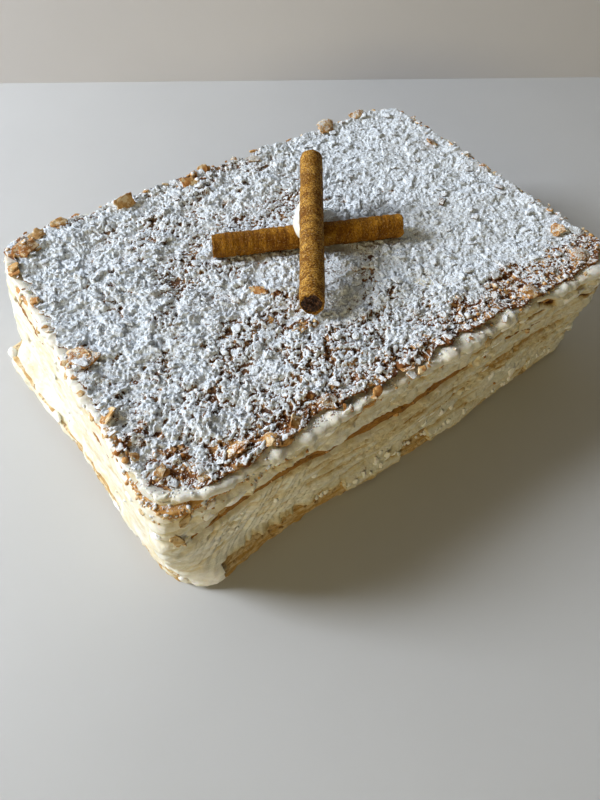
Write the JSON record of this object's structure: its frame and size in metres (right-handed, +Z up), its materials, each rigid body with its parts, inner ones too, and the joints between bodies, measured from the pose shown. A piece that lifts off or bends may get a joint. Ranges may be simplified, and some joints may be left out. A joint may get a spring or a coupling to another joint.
{
  "type": "mille-feuille cake",
  "caption": "Whole rectangular mille-feuille cake: puff pastry sheets with thick cream between them, a crumb top under icing sugar, and crossed wafer rolls with chocolate inside.",
  "frame": {"origin": "middle of the bounding box of the whole cake, on the surface it stands on", "axes": "+X along the cake's long side, +Y along its short side towards the back, +Z up"},
  "size_m": [0.2712, 0.1874, 0.091],
  "materials": {
    "baked_pastry": "matte, leafy, golden to dark brown at the edges",
    "cream": "soft satin, spread with a spatula",
    "sugared_crumbs": "dry and powdery, white sugar over golden brown crumbs",
    "wafer": "matte, golden brown, finely pleated",
    "chocolate": "matte, dark, grainy"
  },
  "bodies": {
    "root": {"pastry_bottom": "baked_pastry", "cream_lower": "cream", "pastry_lower": "baked_pastry", "cream_middle": "cream", "pastry_upper": "baked_pastry", "cream_upper": "cream", "pastry_top": "baked_pastry", "cream_cap": "cream", "crumb_topping": "sugared_crumbs", "wafer_lying": "wafer", "filling_lying": "chocolate", "wafer_raised": "wafer", "filling_raised": "chocolate", "cream_dollop": "cream"}
  },
  "joints": []
}
